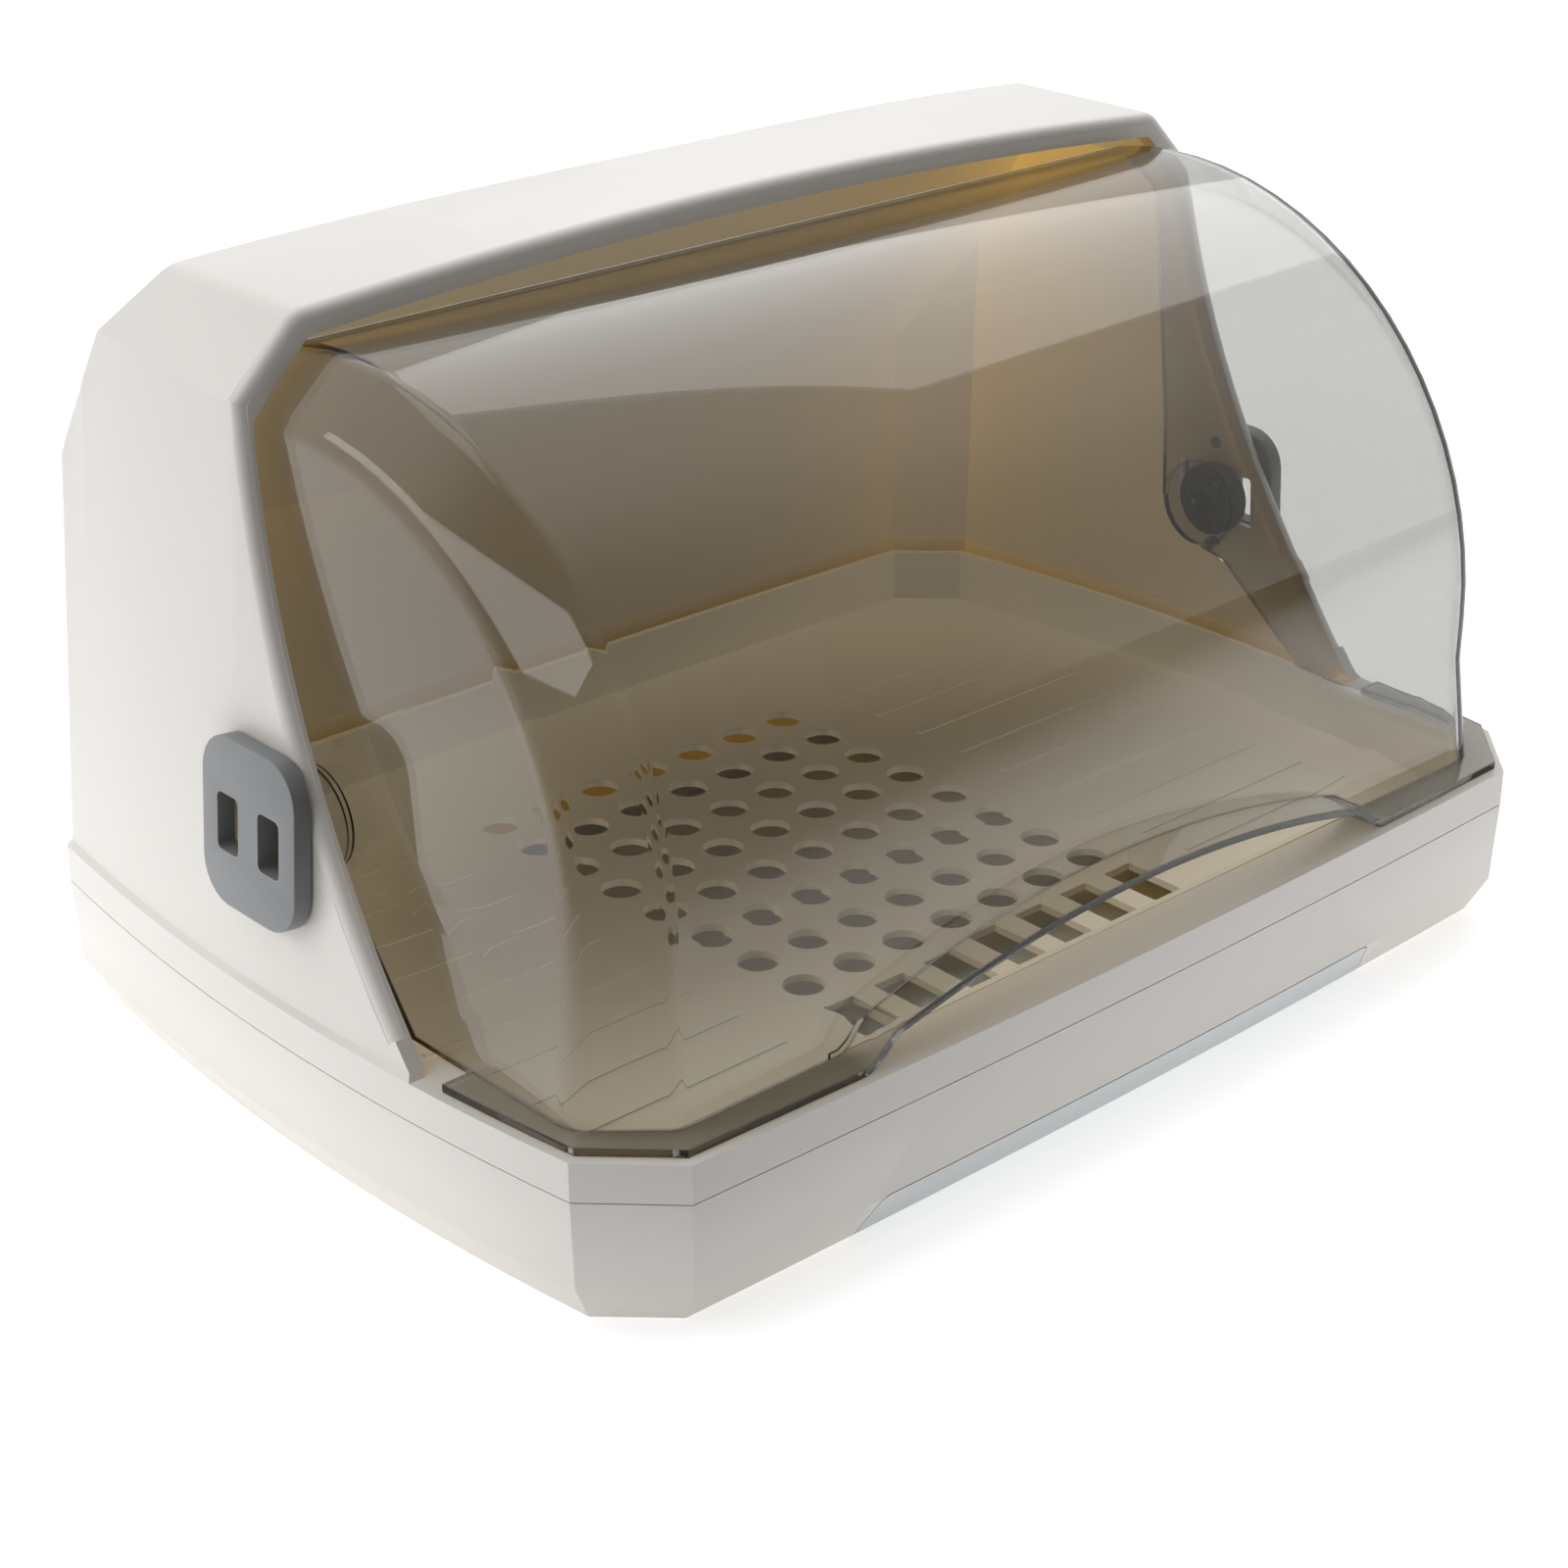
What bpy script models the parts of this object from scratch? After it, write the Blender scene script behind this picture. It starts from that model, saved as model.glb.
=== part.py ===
# Baby bottle drying box: a cream base and hood, a smoke flip lid and a pull-out drip tray.
# Metres, +Z up, +Y to the back. The origin is on the ground under the middle of the box.
import math

import bmesh
import bpy
from mathutils import Matrix, Vector

# Feet and the outline that the base and the hood share
foot_proud = 0.001
half_width = 0.160
half_depth = 0.1185
corner_leg = 0.0183
side_sag = 0.0075
front_sag = 0.0025
side_steps = 16
front_steps = 12
overrun = 0.010
gap = 0.0003
diagonal_share = 2.0 - math.sqrt(2.0)
corner_share = math.tan(math.radians(22.5))
soft_angle = 20.0
wide_angle = 30.0

# Heights, counted from the ground
base_z = foot_proud
band_height = 0.0104
seam_height = 0.0328
bar_height = 0.0426
band_z = base_z + band_height
seam_z = base_z + seam_height
bar_z = base_z + bar_height

# Base
base_wall = 0.0024
base_plate = 0.0024
base_foot_inset = 0.0063
base_band_inset = 0.0009

# Hood
hood_wall = 0.0026
hood_step_inset = 0.0012
hood_step_rise = 0.0016
hood_loft_height = 0.206
hood_side_lean = 0.0477
hood_back_lean = 0.0673
hood_sag_loss = 0.0330
chamfer_half_width = 0.1385
shoulder_height = 0.1958
crown_sag = 0.0056
crown_steps = 24
slope_low_y = 0.088
slope_low_height = 0.153
slope_high_y = 0.064
slope_high_height = 0.192
crown_round = 0.0075
slope_round = 0.0160
ease_steps = 4
rim_side_inset = 0.0040
rim_crown_inset = 0.0061
rim_depth = 0.0050
rim_top_behind = 0.0130
rim_straight_height = 0.179
rim_foot_ahead = 0.0505
rim_pull = 0.016
rim_steps = 18
rim_round = 0.0028
rim_round_steps = 4
rim_fade = 0.0080
rim_fade_share = 0.1
ledge_thickness = 0.0026
ledge_opening_x = 0.150
ledge_front_inset = 0.0115
ledge_opening_leg = 0.0140
tongue_height = 0.0050
tongue_wall = 0.0016
tongue_root_rise = 0.0030

# Drain floor
floor_height = 0.024
floor_plate = 0.002
upstand_height = 0.0396
upstand_wall = 0.0020
floor_front_inset = 0.0121
front_lip_height = 0.0424
front_lip_half_width = 0.136
hole_columns = 7
hole_pitch_x = 0.0168
hole_pitch_y = 0.0169
hole_radius = 0.0054
hole_sides = 16
hole_back_inset = 0.0523
drain_slot_width = 0.0098
drain_slot_inset = 0.0545
drain_slot_length = 0.0235
rib_pitch = 0.0169
rib_width = 0.0016
rib_rise = 0.0004
rib_inner_x = 0.072
rib_outer_x = 0.138

# Drip tray and its notch
notch_half_width = 0.0870
notch_spread = 0.0040
notch_height = 0.0108
notch_corner = 0.0030
notch_back_inset = 0.0110
tray_half_width = 0.0857
tray_back_inset = 0.0385
tray_height = 0.0074
tray_wall = 0.0016
tray_front_inset = 0.0070
tray_corner = 0.0060
guide_wall = 0.0020
guide_clearance = 0.0004
post_radius = 0.0050
post_side_inset = 0.0220
post_end_inset = 0.0245
side_post_inset = 0.0100

# Lid
pivot_inset = 0.1170
pivot_height = 0.0842
lid_radius = 0.1043
lid_side_x = 0.1513
lid_draft = 0.0204
lid_front_x = 0.1355
lid_shoulder_drop = 0.0137
lid_side_round = 0.0090
lid_front_round = 0.0065
lid_wall = 0.0024
lid_flare = 0.0035
lid_flare_height = 0.0725
lid_core_radius = 0.0020
lid_arc_steps = 36
lid_end_angle = -4.0
lid_back_top_behind = 0.0222
lid_back_top_height = 0.195
lid_back_bend_behind = 0.0139
lid_back_bend_height = 0.106
lobe_radius = 0.0133
lobe_steps = 14
lobe_start = -100.0
panel_knee_ahead = 0.0100
panel_knee_height = 0.0695
panel_knee_round = 0.0080
panel_foot_ahead = 0.0370
boss_margin = 0.0010
boss_proud = 0.0003
boss_depth = 0.0006
flange_thickness = 0.0020
flange_inset = 0.0024
flange_end_ahead = 0.0585
arch_half_width = 0.0908
arch_blend = 0.0105
arch_peak_height = 0.0604
arch_radius = 0.305
arch_steps = 71

# Pivot hub, plate, washer and cap
plate_shift = 0.0024
plate_width = 0.0362
plate_height = 0.041
plate_thickness = 0.0046
plate_corner = 0.0100
plate_edge = 0.0020
vent_width = 0.0083
vent_height = 0.0140
vent_offset = 0.0080
vent_corner = 0.0015
window_width = 0.0262
window_height = 0.0150
hub_radius = 0.0072
pin_radius = 0.0032
pin_length = 0.0100
washer_thickness = 0.0020
washer_radius = 0.0058
cap_radius = 0.0105
cap_length = 0.0050
cap_front = 0.0022
cap_round = 0.0008
cap_slot_width = 0.0070
cap_slot_height = 0.0120
peg_radius = 0.0018
peg_length = 0.0040
peg_offset = 0.0155
round_sides = 32

# Feet
foot_radius = 0.0080
foot_pocket = 0.0010
foot_side_inset = 0.0390
foot_end_inset = 0.0365

# Screws that hold the drain floor on the base
screw_head_radius = 0.0030
screw_head_height = 0.0014
screw_shank_radius = 0.0014
screw_length = 0.0150
screw_recess = 0.0008
screw_cross_width = 0.0009
screw_cross_depth = 0.0007
cross_share = 0.6
boss_height = 0.0110
boss_wall_radius = 0.0042

# Derived places: the pivot, the rim and the lid's edges follow the front, the holes both ends
pivot_y = pivot_inset - half_depth
rim_top_y = pivot_y + rim_top_behind
rim_foot_y = pivot_y - rim_foot_ahead
lid_back_top_y = pivot_y + lid_back_top_behind
lid_back_bend_y = pivot_y + lid_back_bend_behind
panel_knee_y = pivot_y - panel_knee_ahead
panel_foot_y = pivot_y - panel_foot_ahead
flange_end_y = pivot_y - flange_end_ahead
ledge_opening_y = half_depth - ledge_front_inset
floor_front_y = half_depth - floor_front_inset
notch_back_y = half_depth - notch_back_inset
tray_back_y = half_depth - tray_back_inset
tray_front_back_y = half_depth - tray_front_inset
hole_last_y = half_depth - hole_back_inset
drain_slot_back_y = drain_slot_inset - half_depth
hole_room = hole_last_y - drain_slot_back_y
hole_rows = 1 + int((hole_room - hole_radius) / hole_pitch_y)
rib_rows = 1 + int((hole_room + drain_slot_length / 2.0) / rib_pitch)
pivot_z = base_z + pivot_height
flare_z = base_z + lid_flare_height
plate_top_z = base_z + base_plate
floor_z = base_z + floor_height
floor_under_z = floor_z - floor_plate
ledge_under_z = bar_z - ledge_thickness
plate_y = pivot_y + plate_shift
far_x = half_width + side_sag + overrun
far_y = half_depth + front_sag + overrun
top_z = base_z + hood_loft_height

for old in list(bpy.data.objects):
    bpy.data.objects.remove(old, do_unlink=True)

parts = bpy.data.collections.new("Baby bottle drying box")
bpy.context.scene.collection.children.link(parts)
cutters = bpy.data.collections.new("Cutters")
bpy.context.scene.collection.children.link(cutters)


def make_material(name, colour, roughness, alpha=1.0):
    material = bpy.data.materials.new(name)
    material.use_nodes = True
    shader = material.node_tree.nodes["Principled BSDF"]
    shader.inputs["Base Color"].default_value = (colour[0], colour[1], colour[2], 1.0)
    shader.inputs["Roughness"].default_value = roughness
    shader.inputs["Metallic"].default_value = 0.0
    shader.inputs["Alpha"].default_value = alpha
    return material


cream_share = (0.79, 0.76, 0.71)
smoke_share = (0.20, 0.17, 0.13)
grey_share = (0.28, 0.29, 0.30)
pale_grey_share = (0.45, 0.48, 0.49)
dark_share = (0.05, 0.055, 0.065)
steel_share = (0.60, 0.60, 0.62)
base_plastic = make_material("base cream plastic", cream_share, 0.38)
hood_plastic = make_material("hood cream plastic", cream_share, 0.36)
floor_plastic = make_material("floor cream plastic", cream_share, 0.42)
lid_plastic = make_material("lid smoke plastic", smoke_share, 0.06, 0.35)
tray_plastic = make_material("tray grey plastic", pale_grey_share, 0.40)
plate_plastic = make_material("plate grey plastic", grey_share, 0.38)
cap_plastic = make_material("cap dark plastic", dark_share, 0.30)
washer_plastic = make_material("washer grey plastic", grey_share, 0.50)
foot_rubber = make_material("foot rubber", dark_share, 0.80)
screw_steel = make_material("screw steel", steel_share, 0.30)
screw_steel.node_tree.nodes["Principled BSDF"].inputs["Metallic"].default_value = 1.0


def add_object(name, mesh, collection, material=None):
    piece = bpy.data.objects.new(name, mesh)
    collection.objects.link(piece)
    if material is not None:
        mesh.materials.append(material)
    if collection is cutters:
        piece.hide_render = True
        piece.display_type = "WIRE"
    return piece


def mesh_from(name, build):
    mesh = bpy.data.meshes.new(name)
    shape = bmesh.new()
    build(shape)
    bmesh.ops.recalc_face_normals(shape, faces=shape.faces)
    shape.to_mesh(mesh)
    shape.free()
    return mesh


def loft(name, rings, collection, material=None):
    # A closed solid through rings with the same number of points
    def build(shape):
        rows = [[shape.verts.new(point) for point in ring] for ring in rings]
        count = len(rings[0])
        for lower, upper in zip(rows, rows[1:]):
            for index in range(count):
                after = (index + 1) % count
                shape.faces.new((lower[index], lower[after], upper[after], upper[index]))
        shape.faces.new(list(reversed(rows[0])))
        shape.faces.new(rows[-1])

    return add_object(name, mesh_from(name, build), collection, material)


def prism(name, outline, plane, low, high, collection, material=None):
    # A flat outline in the XY, XZ or YZ plane, given as a filled curve and made a solid
    curve = bpy.data.curves.new(name, "CURVE")
    curve.dimensions = "2D"
    curve.fill_mode = "BOTH"
    curve.extrude = (high - low) / 2.0
    spline = curve.splines.new("POLY")
    spline.points.add(len(outline) - 1)
    for point, place in zip(spline.points, outline):
        point.co = (place[0], place[1], 0.0, 1.0)
    spline.use_cyclic_u = True
    guide = bpy.data.objects.new(name + " guide", curve)
    cutters.objects.link(guide)
    turns = {"XY": ((1, 0, 0), (0, 1, 0), (0, 0, 1)),
             "XZ": ((1, 0, 0), (0, 0, 1), (0, -1, 0)),
             "YZ": ((0, 1, 0), (0, 0, 1), (1, 0, 0))}
    across, up, along = (Vector(axis) for axis in turns[plane])
    middle = (low + high) / 2.0
    sign = -1.0 if plane == "XZ" else 1.0
    frame = Matrix((across, up, along)).transposed().to_4x4()
    frame.translation = along * middle * sign
    mesh = bpy.data.meshes.new_from_object(guide)
    mesh.transform(frame)
    bpy.data.objects.remove(guide, do_unlink=True)
    shape = bmesh.new()
    shape.from_mesh(mesh)
    bmesh.ops.remove_doubles(shape, verts=shape.verts, dist=gap / 100)
    bmesh.ops.recalc_face_normals(shape, faces=shape.faces)
    shape.to_mesh(mesh)
    shape.free()
    mesh.name = name
    mesh.materials.clear()
    return add_object(name, mesh, collection, material)


def block(name, low, high, collection, material=None):
    # A box between two corners
    def build(shape):
        bmesh.ops.create_cube(shape, size=1.0)
        size = [upper - lower for lower, upper in zip(low, high)]
        middle = [(upper + lower) / 2.0 for lower, upper in zip(low, high)]
        bmesh.ops.scale(shape, vec=size, verts=shape.verts)
        bmesh.ops.translate(shape, vec=middle, verts=shape.verts)

    return add_object(name, mesh_from(name, build), collection, material)


def cylinder(name, axis, place, radius, low, high, collection, material=None, sides=round_sides):
    # A round bar along X or Z, between two places on that axis
    def build(shape):
        bmesh.ops.create_cone(shape, cap_ends=True, segments=sides, radius1=radius,
                              radius2=radius, depth=high - low)
        if axis == "X":
            turn = Matrix.Rotation(math.radians(90), 3, "Y")
            bmesh.ops.rotate(shape, cent=(0, 0, 0), matrix=turn, verts=shape.verts)
            shift = ((low + high) / 2.0, place[0], place[1])
        else:
            shift = (place[0], place[1], (low + high) / 2.0)
        bmesh.ops.translate(shape, vec=shift, verts=shape.verts)

    return add_object(name, mesh_from(name, build), collection, material)


def turned(name, profile, side, material):
    # A profile of (x, radius) points turned about the pivot's axis; side is -1 or 1
    def build(shape):
        rows = []
        for step in range(round_sides):
            angle = 2.0 * math.pi * step / round_sides
            rows.append([shape.verts.new((side * along, pivot_y + out * math.cos(angle),
                                          pivot_z + out * math.sin(angle)))
                         for along, out in profile])
        count = len(profile)
        for step in range(round_sides):
            near = rows[step]
            far = rows[(step + 1) % round_sides]
            for index in range(count):
                after = (index + 1) % count
                shape.faces.new((near[index], near[after], far[after], far[index]))

    return add_object(name, mesh_from(name, build), parts, material)


def boolean(piece, tool, operation):
    step = piece.modifiers.new(operation.lower() + " " + tool.name, "BOOLEAN")
    step.operation = operation
    step.solver = "EXACT"
    step.object = tool
    return step


def cut(piece, tool):
    return boolean(piece, tool, "DIFFERENCE")


def join(piece, tool):
    return boolean(piece, tool, "UNION")


def keep(piece, tool):
    return boolean(piece, tool, "INTERSECT")


def round_edges(piece, width, angle=25.0, segments=2):
    step = piece.modifiers.new("rounded edges", "BEVEL")
    step.width = width
    step.segments = segments
    step.limit_method = "ANGLE"
    step.angle_limit = math.radians(angle)
    step.use_clamp_overlap = True
    return step


def smooth(piece, angle=wide_angle):
    piece.data.shade_smooth()
    piece.data.set_sharp_from_angle(angle=math.radians(angle))


def bowed(position, reach, sag):
    # How far a bowed edge stands out at a position along it
    return sag * (1.0 - (position / reach) ** 2)


def eased(corners):
    # A closed outline through corners given as (place, radius), each rounded by its radius
    points = []
    for index, (place, radius) in enumerate(corners):
        if radius <= 0.0:
            points.append((place[0], place[1]))
            continue
        here = Vector(place)
        come = (here - Vector(corners[index - 1][0])).normalized()
        leave = (Vector(corners[(index + 1) % len(corners)][0]) - here).normalized()
        turn = math.atan2(come.x * leave.y - come.y * leave.x, come.dot(leave))
        start = here - come * radius * math.tan(abs(turn) / 2.0)
        across = Vector((-come.y, come.x)) * radius * math.copysign(1.0, turn)
        centre = start + across
        for step in range(ease_steps + 1):
            angle = turn * step / ease_steps
            points.append((centre.x - across.x * math.cos(angle) + across.y * math.sin(angle),
                           centre.y - across.x * math.sin(angle) - across.y * math.cos(angle)))
    return points


def plan_ring(z, inset=0.0, width=half_width, depth=half_depth, leg=corner_leg,
              sag_x=side_sag, sag_y=front_sag, front=None):
    # The chamfered, bowed outline at height z, offset inwards by inset
    reach_x = width - leg
    reach_y = depth - leg
    leg_in = leg - inset * diagonal_share
    w = width - inset
    back = depth - inset
    lead = back if front is None else front
    lead_sag = sag_y if front is None else 0.0
    points = []
    for step in range(front_steps + 1):
        x = (w - leg_in) * (2.0 * step / front_steps - 1.0)
        points.append(Vector((x, -lead - bowed(x, reach_x, lead_sag) * bool(abs(x) < reach_x), z)))
    low = -(lead - leg_in)
    high = back - leg_in
    for step in range(side_steps + 1):
        y = low + (high - low) * step / side_steps
        points.append(Vector((w + max(0.0, bowed(y, reach_y, sag_x)), y, z)))
    for step in range(front_steps + 1):
        x = (w - leg_in) * (1.0 - 2.0 * step / front_steps)
        points.append(Vector((x, back + bowed(x, reach_x, sag_y) * bool(abs(x) < reach_x), z)))
    for step in range(side_steps + 1):
        y = high + (low - high) * step / side_steps
        points.append(Vector((-w - max(0.0, bowed(y, reach_y, sag_x)), y, z)))
    return points


def hood_ring(z, inset):
    # The hood's outline at height z: it leans in and loses some bow above the rim band
    rise = max(0.0, z - bar_z - hood_step_rise)
    step = hood_step_inset if z > bar_z else 0.0
    return plan_ring(z, inset=inset, width=half_width - step - hood_side_lean * rise,
                     depth=half_depth - step - hood_back_lean * rise,
                     sag_x=side_sag - hood_sag_loss * rise,
                     sag_y=front_sag - hood_sag_loss * rise / 3.0)


def crown_outline(inset):
    # The hood from the front: side chamfers under a bowed crown
    shoulder_z = base_z + shoulder_height - inset
    shoulder_x = chamfer_half_width - inset * corner_share
    spread = far_x - shoulder_x
    corners = [((-far_x, base_z - overrun), 0.0), ((far_x, base_z - overrun), 0.0),
               ((far_x, shoulder_z - spread), 0.0)]
    for step in range(crown_steps + 1):
        x = shoulder_x * (1.0 - 2.0 * step / crown_steps)
        radius = crown_round - inset if step in (0, crown_steps) else 0.0
        corners.append(((x, shoulder_z + bowed(x, shoulder_x, crown_sag)), radius))
    corners.append(((-far_x, shoulder_z - spread), 0.0))
    return eased(corners)


def slope_outline(inset):
    # The hood from the side: the slope from the crown down to the back wall
    run = Vector((slope_high_y - slope_low_y, slope_high_height - slope_low_height)).normalized()
    normal = Vector((run.y, -run.x))
    low = Vector((slope_low_y, base_z + slope_low_height)) - normal * inset
    down = low - run * ((low.y - base_z + overrun) / run.y)
    crest_z = base_z + shoulder_height + crown_sag + gap - inset
    up = low + run * ((crest_z - low.y) / run.y)
    return eased([((-far_y, base_z - overrun), 0.0), ((down.x, down.y), 0.0),
                  ((up.x, up.y), slope_round - inset), ((-far_y, crest_z), 0.0)])


def hood_form(name, inset, bottom_z, collection, material=None, crown_inset=None):
    # The hood's full form, closed, offset inwards by inset and at the crown by crown_inset
    crown_inset = inset if crown_inset is None else crown_inset
    heights = [bottom_z]
    if bottom_z < bar_z:
        heights.append(bar_z)
    heights.extend([bar_z + hood_step_rise, top_z])
    form = loft(name, [hood_ring(z, inset) for z in heights], collection, material)
    crown = prism(name + " crown", crown_outline(crown_inset), "XZ", -far_y, far_y, cutters)
    slope = prism(name + " slope", slope_outline(crown_inset), "YZ", -far_x, far_x, cutters)
    keep(form, crown)
    keep(form, slope)
    return form


def rim_curve(shift):
    # The side view of the opening's rim, from its foot up to the crown
    points = []
    start_z = bar_z
    end_z = base_z + rim_straight_height
    for step in range(rim_steps + 1):
        share = 1.0 - step / rim_steps
        y = rim_top_y - rim_pull * share - (rim_top_y - rim_pull - rim_foot_y) * share ** 2
        points.append((y + shift, start_z + (end_z - start_z) * (1.0 - share)))
    return points


def hood_side_x(y, z):
    # How far the hood's side stands from the middle at a place above the rim's foot
    rise = z - bar_z - hood_step_rise
    sag = side_sag - hood_sag_loss * rise
    return half_width - hood_step_inset - hood_side_lean * rise + bowed(y, half_depth - corner_leg, sag)


def rim_edge_path():
    # The rim's outer edge, up the right side, over the crown and down the left side
    side_path = [Vector((hood_side_x(y, z), y, z)) for y, z in rim_curve(0.0)[1:-1]]
    edge_z = base_z + rim_straight_height
    # The side meets the crown's chamfer where both give the same place, found by repeated tries
    for attempt in range(crown_steps):
        edge_x = hood_side_x(rim_top_y, edge_z)
        edge_z = base_z + shoulder_height + chamfer_half_width - edge_x
    side_path.append(Vector((edge_x, rim_top_y, edge_z)))
    crown_path = [Vector((x, rim_top_y, z)) for x, z in crown_outline(0.0) if abs(x) < edge_x]
    other_path = [Vector((-place.x, place.y, place.z)) for place in reversed(side_path)]
    return side_path + crown_path + other_path


def rim_rounding(name):
    # What the rounding of the rim's outer edge takes away, swept along the edge
    path = rim_edge_path()
    rings = []
    for index, here in enumerate(path):
        before = path[max(index - 1, 0)]
        after = path[min(index + 1, len(path) - 1)]
        come = (here - before).normalized()
        leave = (after - here).normalized()
        along = (come + leave).normalized()
        half_turn = 1.0
        if come.length > 0.0 and leave.length > 0.0:
            half_turn = math.sqrt((1.0 + min(1.0, come.dot(leave))) / 2.0)
        back = Vector((0.0, 1.0, 0.0))
        out = along.cross(back).normalized()
        if out.dot(Vector((here.x, 0.0, here.z - pivot_z))) < 0.0:
            out = -out
        back = along.cross(out).normalized()
        if back.y < 0.0:
            back = -back
        share = min(1.0, max(rim_fade_share, (here.z - bar_z) / rim_fade))
        radius = rim_round * share
        reach = radius / half_turn
        beyond = rim_round
        ring = [here + out * beyond - back * beyond, here + out * beyond + back * (radius + beyond)]
        for step in range(rim_round_steps + 1):
            angle = math.pi / 2.0 * step / rim_round_steps
            ring.append(here + back * radius * (1.0 - math.sin(angle))
                        - out * reach * (1.0 - math.cos(angle)))
        ring.append(here - out * reach - back * beyond)
        rings.append(ring)
    return loft(name, rings, cutters)


def rim_outline(shift, floor_level):
    curve = rim_curve(shift)
    points = [(-far_y, floor_level)]
    if floor_level < curve[0][1]:
        points.append((curve[0][0], floor_level))
    points.extend(curve)
    points.append((curve[-1][0], top_z + overrun))
    points.append((-far_y, top_z + overrun))
    return points


def arc_points(centre, radius, start, end, steps):
    points = []
    for step in range(steps + 1):
        angle = math.radians(start + (end - start) * step / steps)
        points.append((centre[0] + radius * math.cos(angle), centre[1] + radius * math.sin(angle)))
    return points


def rounded_box(centre, width, height, corner, steps=5):
    half_w = width / 2.0 - corner
    half_h = height / 2.0 - corner
    points = []
    for start, side, level in ((0, 1, 1), (90, -1, 1), (180, -1, -1), (270, 1, -1)):
        middle = (centre[0] + side * half_w, centre[1] + level * half_h)
        points.extend(arc_points(middle, corner, start, start + 90, steps))
    return points


def notch_outline(clearance):
    # The tray's front from ahead: wider at its foot, with rounded upper corners
    top = band_z - band_height + notch_height - clearance
    foot = base_z - overrun
    wide = notch_half_width - clearance
    lean = notch_spread / notch_height
    foot_x = wide + lean * (top - foot)
    tilt = math.degrees(math.atan(lean))
    corner_x = wide - notch_corner * math.tan(math.radians((90 - tilt) / 2.0))
    right = arc_points((corner_x, top - notch_corner), notch_corner, tilt, 90, 4)
    left = [(-x, z) for x, z in reversed(right)]
    return [(-foot_x, foot), (foot_x, foot)] + right + left


# Base tray
base = loft("base_tray", [plan_ring(base_z, base_foot_inset), plan_ring(band_z, base_band_inset),
                          plan_ring(seam_z - gap / 2.0)], parts, base_plastic)
plate_inset = base_foot_inset - (base_foot_inset - base_band_inset) * base_plate / band_height
base_hollow = loft("base hollow", [plan_ring(plate_top_z, plate_inset + base_wall),
                                   plan_ring(band_z, base_band_inset + base_wall),
                                   plan_ring(seam_z, base_wall),
                                   plan_ring(seam_z + overrun, base_wall)], cutters)
cut(base, base_hollow)
guide_x = tray_half_width + guide_clearance
post_x = half_width - post_side_inset
post_y = half_depth - post_end_inset
for side, word in ((-1, "left"), (1, "right")):
    near = side * guide_x
    far = side * (guide_x + guide_wall)
    guide = block("tray guide " + word, (min(near, far), -notch_back_y, plate_top_z - gap),
                  (max(near, far), tray_back_y + guide_clearance + guide_wall, floor_under_z - gap),
                  cutters)
    join(base, guide)
    side_post_x = half_width - side_post_inset
    for post, (x, y) in enumerate(((post_x, -post_y), (post_x, post_y), (side_post_x, 0.0))):
        post_top = floor_under_z - gap if y == 0.0 else floor_under_z - boss_height - gap
        post_solid = cylinder("floor post %s %d" % (word, post), "Z", (side * x, y), post_radius,
                              plate_top_z - gap, post_top, cutters, sides=16)
        join(base, post_solid)
stop = block("tray stop", (-guide_x - gap, tray_back_y + guide_clearance, plate_top_z - gap),
             (guide_x + gap, tray_back_y + guide_clearance + guide_wall, plate_top_z + tray_height),
             cutters)
join(base, stop)
notch = prism("tray notch", notch_outline(0.0), "XZ", -far_y, -notch_back_y, cutters)
cut(base, notch)
foot_x = half_width - foot_side_inset
foot_y = half_depth - foot_end_inset
foot_places = [(side * foot_x, end * foot_y) for side in (-1, 1) for end in (-1, 1)]
for index, place in enumerate(foot_places):
    pocket = cylinder("foot pocket %d" % index, "Z", place, foot_radius + gap,
                      base_z - overrun, base_z + foot_pocket, cutters)
    cut(base, pocket)

screw_places = [(side * post_x, end * post_y) for side in (-1, 1) for end in (-1, 1)]
head_top_z = base_z + screw_recess + screw_head_height
for index, place in enumerate(screw_places):
    recess = cylinder("screw recess %d" % index, "Z", place, screw_head_radius + gap,
                      base_z - overrun, head_top_z + gap, cutters, sides=24)
    cut(base, recess)
    shank_hole = cylinder("screw hole %d" % index, "Z", place, screw_shank_radius + gap,
                          base_z - overrun, floor_under_z - boss_height + overrun / 2.0, cutters, sides=16)
    cut(base, shank_hole)

# Feet
for index, place in enumerate(foot_places):
    name = "foot_%s_%s" % ("front" if place[1] < 0 else "back", "left" if place[0] < 0 else "right")
    foot = cylinder(name, "Z", place, foot_radius, 0.0, base_z + foot_pocket - gap, parts, foot_rubber)
    smooth(foot)

# Hood
hood = hood_form("upper_hood", 0.0, seam_z + gap / 2.0, parts, hood_plastic)
cut(hood, rim_rounding("rim rounding"))
cavity = hood_form("hood cavity", hood_wall, seam_z - overrun, cutters)
rim_keep = prism("rim bead", rim_outline(rim_depth, ledge_under_z), "YZ", -far_x, far_x, cutters)
cut(cavity, rim_keep)
cut(hood, cavity)
throat = hood_form("hood throat", rim_side_inset, bar_z, cutters, crown_inset=rim_crown_inset)
cut(hood, throat)
front_cut = prism("rim cut", rim_outline(0.0, bar_z), "YZ", -far_x, far_x, cutters)
cut(hood, front_cut)
opening_leg = ledge_opening_leg
opening_back = rim_foot_y + rim_depth + hood_wall
opening = prism("ledge opening", [
    (-ledge_opening_x + opening_leg, -ledge_opening_y), (ledge_opening_x - opening_leg, -ledge_opening_y),
    (ledge_opening_x, -ledge_opening_y + opening_leg), (ledge_opening_x, opening_back),
    (-ledge_opening_x, opening_back), (-ledge_opening_x, -ledge_opening_y + opening_leg)],
    "XY", ledge_under_z - hood_wall, bar_z + hood_wall, cutters)
cut(hood, opening)
tongue_low_z = seam_z - tongue_height
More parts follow.
